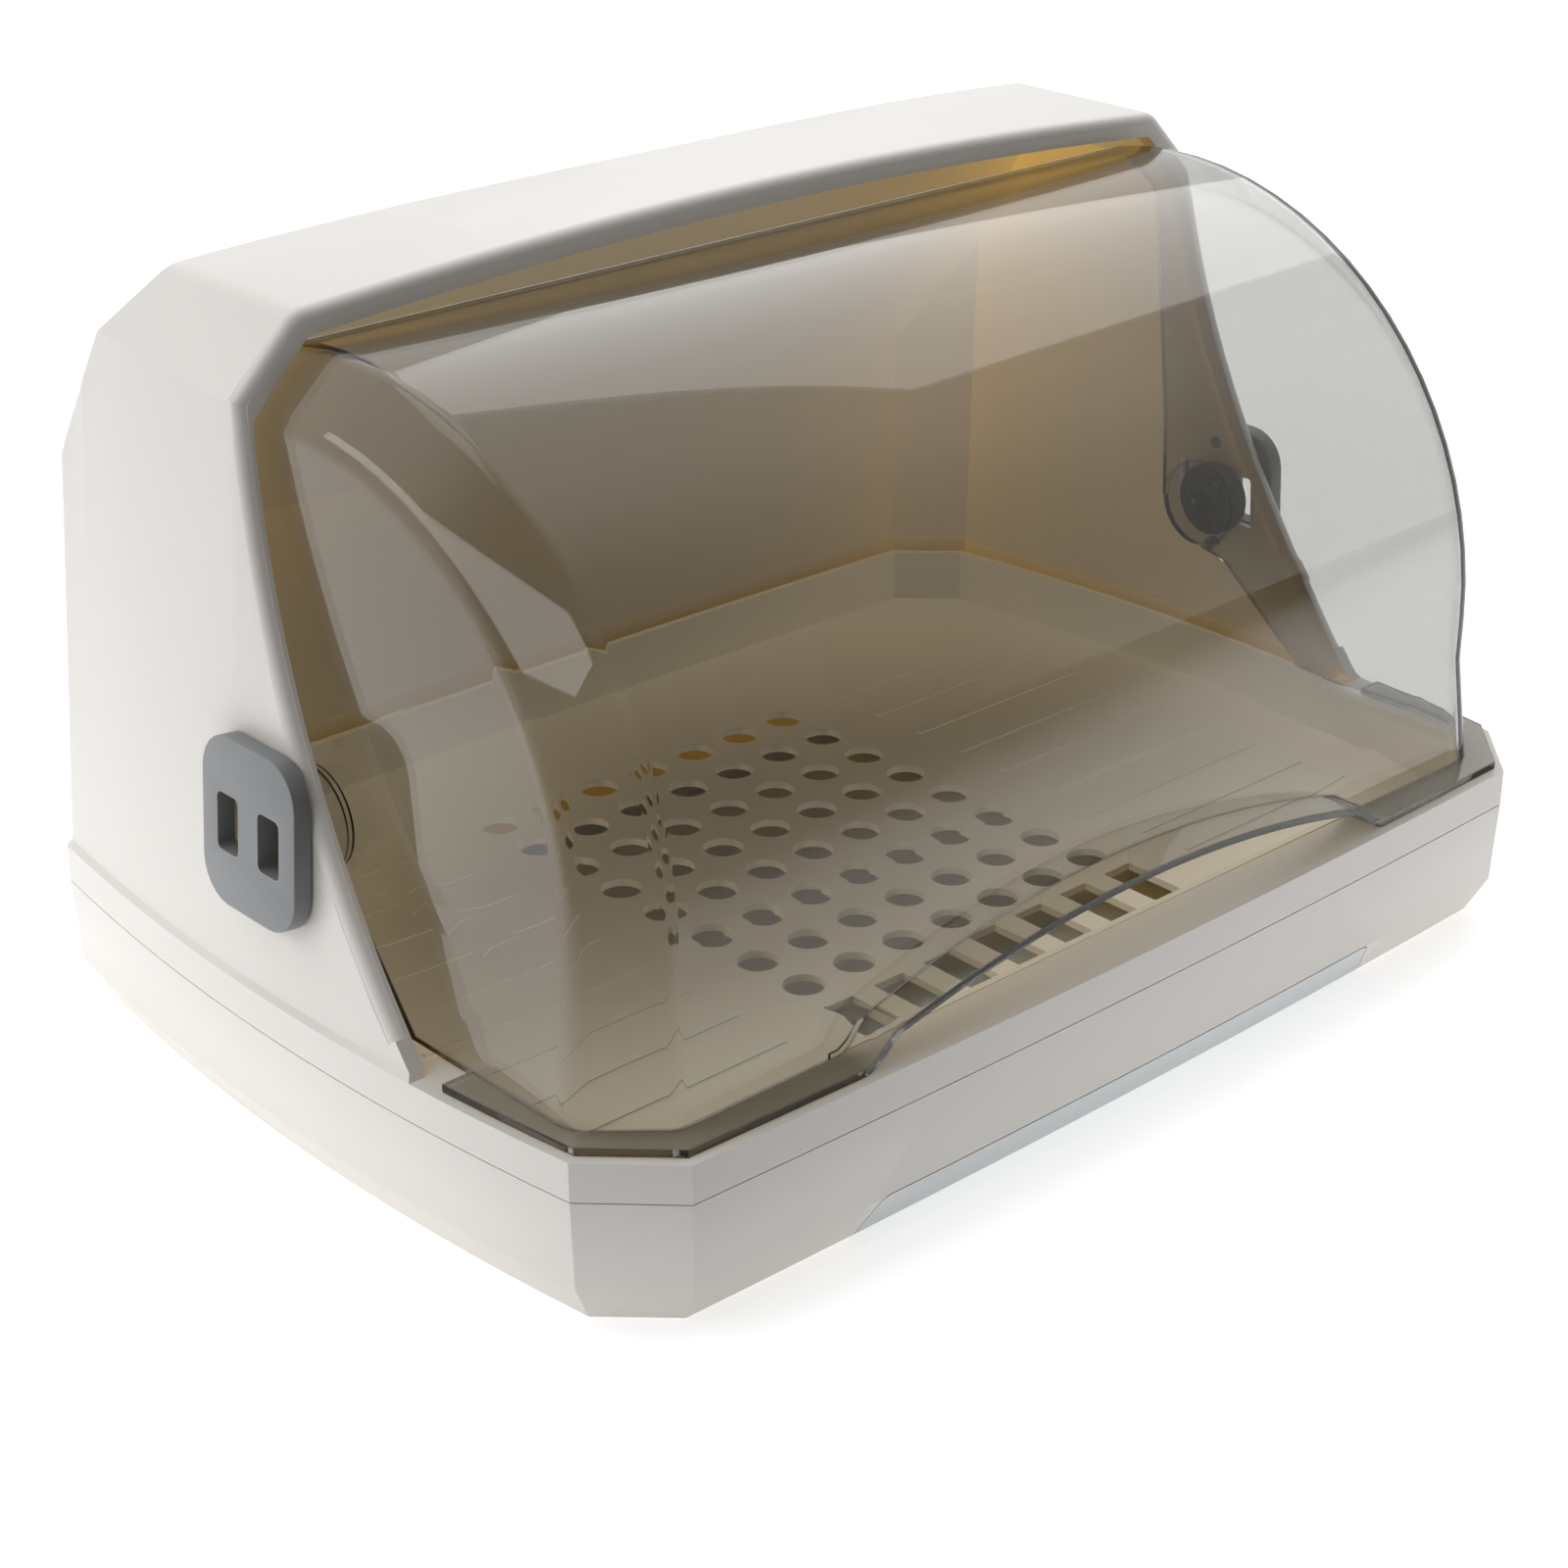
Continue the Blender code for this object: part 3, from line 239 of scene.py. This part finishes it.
# cream housing
# its hollow values set a painted shade in hollows, and glow a painted warm light from within
creamLook = {
    "name": "cream moulded plastic", "colour": (0.80, 0.775, 0.735), "drift": 0.03,
    "grainSize": 1500.0, "roughness": 0.36, "roughnessSpread": 0.08, "edgeLift": 0.12,
    "edgeRadius": 0.0008, "paintedShadeColour": (0.46, 0.38, 0.27), "paintedShadeAmount": 0.30,
    "edgeShine": 0.08, "bump": 0.10, "bumpDepth": 0.0002, "ior": 1.49,
    "glow": (0.45, 0.250, 0.020), "glowKind": "wide"}
cream = plasticMaterial(creamLook)

# drain floor, a little duller
floorLook = dict(
    creamLook, name="cream drain floor plastic", colour=(0.78, 0.755, 0.71), roughness=0.42,
    paintedShadeAmount=0.38, glow=(0.190, 0.166, 0.118), glowKind="near")
floorCream = plasticMaterial(floorLook)

# vent plates
plateLook = {
    "name": "grey vent plate plastic", "colour": (0.225, 0.235, 0.245), "drift": 0.05,
    "grainSize": 1900.0, "roughness": 0.40, "roughnessSpread": 0.06, "edgeLift": 0.16,
    "edgeRadius": 0.0006, "paintedShadeColour": (0.08, 0.085, 0.09), "paintedShadeAmount": 0.45,
    "edgeShine": 0.10, "bump": 0.16, "bumpDepth": 0.0002, "ior": 1.49}
plateGrey = plasticMaterial(plateLook)

# drip tray
trayLook = dict(
    plateLook, name="pale grey tray plastic", colour=(0.78, 0.81, 0.82), roughness=0.42,
    paintedShadeColour=(0.20, 0.21, 0.215))
trayGrey = plasticMaterial(trayLook)

# collars round the pivots, glossier than the rest
capLook = dict(
    plateLook, name="slate pivot cap plastic", colour=(0.020, 0.024, 0.034), roughness=0.24,
    edgeLift=0.10, bump=0.05)
capSlate = plasticMaterial(capLook)

washerLook = dict(
    plateLook, name="grey washer plastic", colour=(0.05, 0.055, 0.065), roughness=0.46)
washerGrey = plasticMaterial(washerLook)

# feet
rubberLook = {
    "name": "dark foot rubber", "colour": (0.030, 0.030, 0.032), "drift": 0.20,
    "grainSize": 1200.0, "roughness": 0.78, "roughnessSpread": 0.14, "edgeLift": 0.05,
    "edgeRadius": 0.0005, "paintedShadeColour": (0.012, 0.012, 0.012), "paintedShadeAmount": 0.5,
    "edgeShine": 0.02, "bump": 0.35, "bumpDepth": 0.0003, "ior": 1.5}
footRubber = plasticMaterial(rubberLook)

# screws
steelLook = {
    "name": "zinc plated screw steel", "colour": (0.56, 0.56, 0.57), "drift": 0.25,
    "grainSize": 2500.0, "roughness": 0.30, "roughnessSpread": 0.25, "bump": 0.15,
    "bumpDepth": 0.0001}


def steelMaterial(look):
    material, tree, shader = newMaterial(look["name"])
    grain = placeGroup(tree, grainGroup, {
        "Colour": (*look["colour"], 1.0), "Drift": look["drift"], "Grain Size": look["grainSize"],
        "Roughness": look["roughness"], "Roughness Spread": look["roughnessSpread"]})
    tree.links.new(grain.outputs["Colour"], shader.inputs["Base Color"])
    tree.links.new(grain.outputs["Roughness"], shader.inputs["Roughness"])
    bump = addNode(tree, "ShaderNodeBump", Strength=look["bump"], Distance=look["bumpDepth"])
    tree.links.new(grain.outputs["Height"], bump.inputs["Height"])
    tree.links.new(bump.outputs["Normal"], shader.inputs["Normal"])
    shader.inputs["Metallic"].default_value = 1.0
    return material


screwSteel = steelMaterial(steelLook)

# smoke lid: it darkens with thickness, and its cut edges get a painted dark bluish shade in the
# base colour
lidLook = {
    "name": "smoke clear lid", "surface": (1.0, 1.0, 1.0), "ior": 1.49,
    "absorb": (0.30, 0.30, 0.27), "density": 222.0, "inside": (1.0, 0.97, 0.90),
    "edge": (0.20, 0.23, 0.28), "edgeRadius": 0.0011, "edgeGain": 1.6,
    "roughness": 0.004, "roughnessSpread": 0.006, "fineScale": 420.0,
    "wave": 0.014, "waveDepth": 0.004, "waveScale": 14.0}


def smokeMaterial(look):
    material, tree, shader = newMaterial(look["name"])
    place = tree.nodes.new("ShaderNodeTexCoord")
    slow = addNode(tree, "ShaderNodeTexNoise", Scale=look["waveScale"], Detail=2.0, Roughness=0.4)
    fine = addNode(tree, "ShaderNodeTexNoise", Scale=look["fineScale"], Detail=3.0, Roughness=0.6)
    for texture in (slow, fine):
        tree.links.new(place.outputs["Object"], texture.inputs["Vector"])
    blur = mathNode(tree, "MULTIPLY", fine.outputs["Fac"], look["roughnessSpread"])
    blur = mathNode(tree, "ADD", blur, look["roughness"])
    tree.links.new(blur, shader.inputs["Roughness"])
    bump = addNode(tree, "ShaderNodeBump", Strength=look["wave"], Distance=look["waveDepth"])
    tree.links.new(slow.outputs["Fac"], bump.inputs["Height"])
    tree.links.new(bump.outputs["Normal"], shader.inputs["Normal"])
    # painted shade: the base colour turns dark and bluish along the lid's edges
    edge = placeGroup(tree, wearAndShadeGroup, {"Edge Radius": look["edgeRadius"]})
    edgeShadeMask = mathNode(tree, "MULTIPLY", edge.outputs["Edge"], look["edgeGain"], clamp=True)
    tone = mixColour(tree, edgeShadeMask, (*look["surface"], 1.0), (*look["edge"], 1.0))
    tree.links.new(tone, shader.inputs["Base Color"])
    shader.inputs["Transmission Weight"].default_value = 1.0
    shader.inputs["IOR"].default_value = look["ior"]
    # light reaches the inside of the box straight through the lid, and warms on the way
    clear = addNode(tree, "ShaderNodeBsdfTransparent", Color=(*look["inside"], 1.0))
    rays = tree.nodes.new("ShaderNodeLightPath")
    lighting = mathNode(tree, "ADD", rays.outputs["Is Shadow Ray"], rays.outputs["Is Diffuse Ray"],
                        clamp=True)
    mix = tree.nodes.new("ShaderNodeMixShader")
    tree.links.new(lighting, mix.inputs[0])
    tree.links.new(shader.outputs["BSDF"], mix.inputs[1])
    tree.links.new(clear.outputs["BSDF"], mix.inputs[2])
    tint = addNode(tree, "ShaderNodeVolumeAbsorption", Color=(*look["absorb"], 1.0),
                   Density=look["density"])
    out = tree.nodes["Material Output"]
    tree.links.new(mix.outputs[0], out.inputs["Surface"])
    tree.links.new(tint.outputs["Volume"], out.inputs["Volume"])
    return material


smoke = smokeMaterial(lidLook)
print("materials built:", len(bpy.data.materials))

finishes = {  # by the start of the node's name
    "base_tray": cream, "upper_hood": cream, "drain_floor": floorCream, "flip_lid": smoke,
    "drip_tray": trayGrey, "vent_plate": plateGrey, "pivot_washer": washerGrey,
    "pivot_cap": capSlate, "foot": footRubber, "screw": screwSteel}


def finishFor(name):
    for start, material in finishes.items():
        if name.startswith(start):
            return material
    raise KeyError(name)


# the frame's facets share no corners: a modifier joins them and shades small turns smoothly
smoothing = {"joinReach": 0.00001, "plainTurn": 30.0,  # metres and degrees
             "turns": {"flip_lid": 32.0, "upper_hood": 26.0}}


def buildJoinGroup(reach):
    tree = bpy.data.node_groups.new("join facets", "GeometryNodeTree")
    newSocket = tree.interface.new_socket
    newSocket(name="Geometry", in_out="INPUT", socket_type="NodeSocketGeometry")
    turn = newSocket(name="Turn", in_out="INPUT", socket_type="NodeSocketFloat")
    newSocket(name="Geometry", in_out="OUTPUT", socket_type="NodeSocketGeometry")
    start = tree.nodes.new("NodeGroupInput")
    end = tree.nodes.new("NodeGroupOutput")
    plain = addNode(tree, "GeometryNodeRemoveAttribute", Name="custom_normal")
    join = addNode(tree, "GeometryNodeMergeByDistance", Distance=reach)
    faces = addNode(tree, "GeometryNodeSetShadeSmooth", domain="FACE")
    edges = addNode(tree, "GeometryNodeSetShadeSmooth", domain="EDGE")
    steps = (start, plain, join, faces, edges, end)
    for before, after in zip(steps, steps[1:]):
        tree.links.new(before.outputs["Geometry"], after.inputs["Geometry"])
    angle = tree.nodes.new("GeometryNodeInputMeshEdgeAngle")
    small = addNode(tree, "FunctionNodeCompare", data_type="FLOAT", operation="LESS_EQUAL")
    tree.links.new(angle.outputs["Unsigned Angle"], small.inputs["A"])
    tree.links.new(start.outputs["Turn"], small.inputs["B"])
    tree.links.new(small.outputs["Result"], edges.inputs["Shade Smooth"])
    return tree, turn.identifier


joinGroup, turnSocket = buildJoinGroup(smoothing["joinReach"])

for name, piece in nodes.items():
    piece.data.materials.clear()
    piece.data.materials.append(finishFor(name))
    join = piece.modifiers.new("join facets", "NODES")
    join.node_group = joinGroup
    join[turnSocket] = math.radians(smoothing["turns"].get(name, smoothing["plainTurn"]))
print("pieces dressed:", len(nodes))

# white sweep lit from below, behind and above, with the dark room on the camera's side
studio = {
    "bright": (1.0, 1.0, 1.0), "brightStrength": 1.05, "dark": (0.13, 0.13, 0.135),
    "darkToward": (-0.42, -0.87, 0.27), "darkFade": (0.0, 0.55),
    "floorColour": (0.93, 0.93, 0.93), "paperColour": (0.95, 0.95, 0.95), "floorGlow": 0.50,
    "floorSize": 14.0, "floorRoughness": 0.9, "floorShine": 0.1,
    "floorDarkToward": (-0.45, -0.89, 0.0), "floorFade": (0.09, 0.36),
    "floorDark": (0.25, 0.25, 0.25),
    "behind": (0.32, 0.95, 0.0), "behindSky": (0.2, 0.9), "behindFloor": (0.08, 0.32),
    "behindDim": 0.45}


# how far a direction or place lies behind the box, for the light that matt surfaces take from it
def behindShade(tree, place, span):
    fade = fadeNode(tree, dotNode(tree, place, studio["behind"]), span, studio["behindDim"])
    rays = tree.nodes.new("ShaderNodeLightPath")
    return mathNode(tree, "MULTIPLY", fade, rays.outputs["Is Diffuse Ray"])


def buildFloor():
    mesh = bpy.data.meshes.new("studio floor")
    reach = studio["floorSize"] / 2
    corners = [(-reach, -reach, 0), (reach, -reach, 0), (reach, reach, 0), (-reach, reach, 0)]
    mesh.from_pydata(corners, [], [(0, 1, 2, 3)])
    floor = bpy.data.objects.new("studio_floor", mesh)
    bpy.context.scene.collection.objects.link(floor)
    material, tree, shader = newMaterial("studio floor paper")
    place = tree.nodes.new("ShaderNodeTexCoord").outputs["Object"]
    paper = addNode(tree, "ShaderNodeTexNoise", Scale=60.0, Detail=4.0)
    tree.links.new(place, paper.inputs["Vector"])
    tone = mixColour(tree, paper.outputs["Fac"], (*studio["floorColour"], 1.0),
                     (*studio["paperColour"], 1.0))
    # what the floor sends back to the box falls off on the dark side of the room
    fade = fadeNode(tree, dotNode(tree, place, studio["floorDarkToward"]), studio["floorFade"])
    rays = tree.nodes.new("ShaderNodeLightPath")
    unseen = mathNode(tree, "SUBTRACT", 1.0, rays.outputs["Is Camera Ray"])
    shade = mathNode(tree, "MULTIPLY", fade, unseen)
    shade = mathNode(tree, "MAXIMUM", shade, behindShade(tree, place, studio["behindFloor"]))
    tone = mixColour(tree, shade, tone, (*studio["floorDark"], 1.0))
    glow = mixColour(tree, shade, (1.0, 1.0, 1.0, 1.0), (0.0, 0.0, 0.0, 1.0))
    tree.links.new(tone, shader.inputs["Base Color"])
    tree.links.new(glow, shader.inputs["Emission Color"])
    shader.inputs["Emission Strength"].default_value = studio["floorGlow"]
    shader.inputs["Roughness"].default_value = studio["floorRoughness"]
    shader.inputs["Specular IOR Level"].default_value = studio["floorShine"]
    mesh.materials.append(material)


def buildWorld():
    world = bpy.data.worlds.new("studio world")
    world.use_nodes = True
    tree = world.node_tree
    back = tree.nodes["Background"]
    place = tree.nodes.new("ShaderNodeTexCoord").outputs["Generated"]
    toward = Vector(studio["darkToward"]).normalized()
    bright, dark = (*studio["bright"], 1.0), (*studio["dark"], 1.0)
    fade = fadeNode(tree, dotNode(tree, place, toward), studio["darkFade"])
    shade = mixColour(tree, fade, bright, dark)
    shade = mixColour(tree, behindShade(tree, place, studio["behindSky"]), shade, dark)
    rays = tree.nodes.new("ShaderNodeLightPath")
    shade = mixColour(tree, rays.outputs["Is Camera Ray"], shade, bright)  # plain backdrop
    tree.links.new(shade, back.inputs["Color"])
    back.inputs["Strength"].default_value = studio["brightStrength"]
    bpy.context.scene.world = world


# place, width and height in metres; the top one isn't mirrored in the lid
lightAim = (0.0, 0.0, 0.1)
softBoxes = {
    "left softbox": {
        "place": (-1.2, 0.15, 0.95), "size": (2.2, 0.35), "watts": 5.0, "mirrored": True},
    "top softbox": {
        "place": (-0.2, 0.45, 1.6), "size": (1.0, 0.8), "watts": 6.0, "mirrored": False},
    "rear softbox": {
        "place": (0.95, 0.52, 1.05), "size": (1.2, 0.8), "watts": 3.5, "mirrored": True}}


def buildSoftBox(name, box):
    light = bpy.data.lights.new(name, "AREA")
    light.shape = "RECTANGLE"
    light.size, light.size_y = box["size"]
    light.energy = box["watts"]
    lamp = bpy.data.objects.new(name, light)
    lamp.location = box["place"]
    toAim = Vector(lightAim) - Vector(box["place"])
    lamp.rotation_euler = toAim.to_track_quat("-Z", "Y").to_euler()
    lamp.visible_glossy = box["mirrored"]
    bpy.context.scene.collection.objects.link(lamp)


buildFloor()
buildWorld()
for name, box in softBoxes.items():
    buildSoftBox(name, box)
bpy.context.scene.view_settings.view_transform = "Standard"
print("studio built:", len(softBoxes), "softboxes")

# camera fitted to the photo's corners: metres, degrees, millimetres of lens and sensor
shot = {
    "place": (-0.488217, -0.530651, 0.387761), "azimuth": 43.909, "elevation": 25.368,
    "roll": 0.56, "lens": 70.095, "sensor": 36.0, "shift": (-0.05539, -0.00393),
    "nearest": 0.05, "farthest": 60.0}


def buildCamera():
    data = bpy.data.cameras.new("photo camera")
    data.sensor_width = shot["sensor"]
    data.lens = shot["lens"]
    data.shift_x, data.shift_y = shot["shift"]
    data.clip_start, data.clip_end = shot["nearest"], shot["farthest"]
    camera = bpy.data.objects.new("photo camera", data)
    azimuth, elevation, roll = (
        math.radians(shot[key]) for key in ("azimuth", "elevation", "roll"))
    forward = Vector((math.sin(azimuth) * math.cos(elevation),
                      math.cos(azimuth) * math.cos(elevation), -math.sin(elevation)))
    right = Vector((math.cos(azimuth), -math.sin(azimuth), 0.0))
    up = right.cross(forward)
    turnedRight = right * math.cos(roll) + up * math.sin(roll)
    turnedUp = up * math.cos(roll) - right * math.sin(roll)
    turn = Matrix((turnedRight, turnedUp, -forward)).transposed().to_4x4()
    turn.translation = Vector(shot["place"])
    camera.matrix_world = turn
    bpy.context.scene.collection.objects.link(camera)
    bpy.context.scene.camera = camera


buildCamera()
print("camera set")
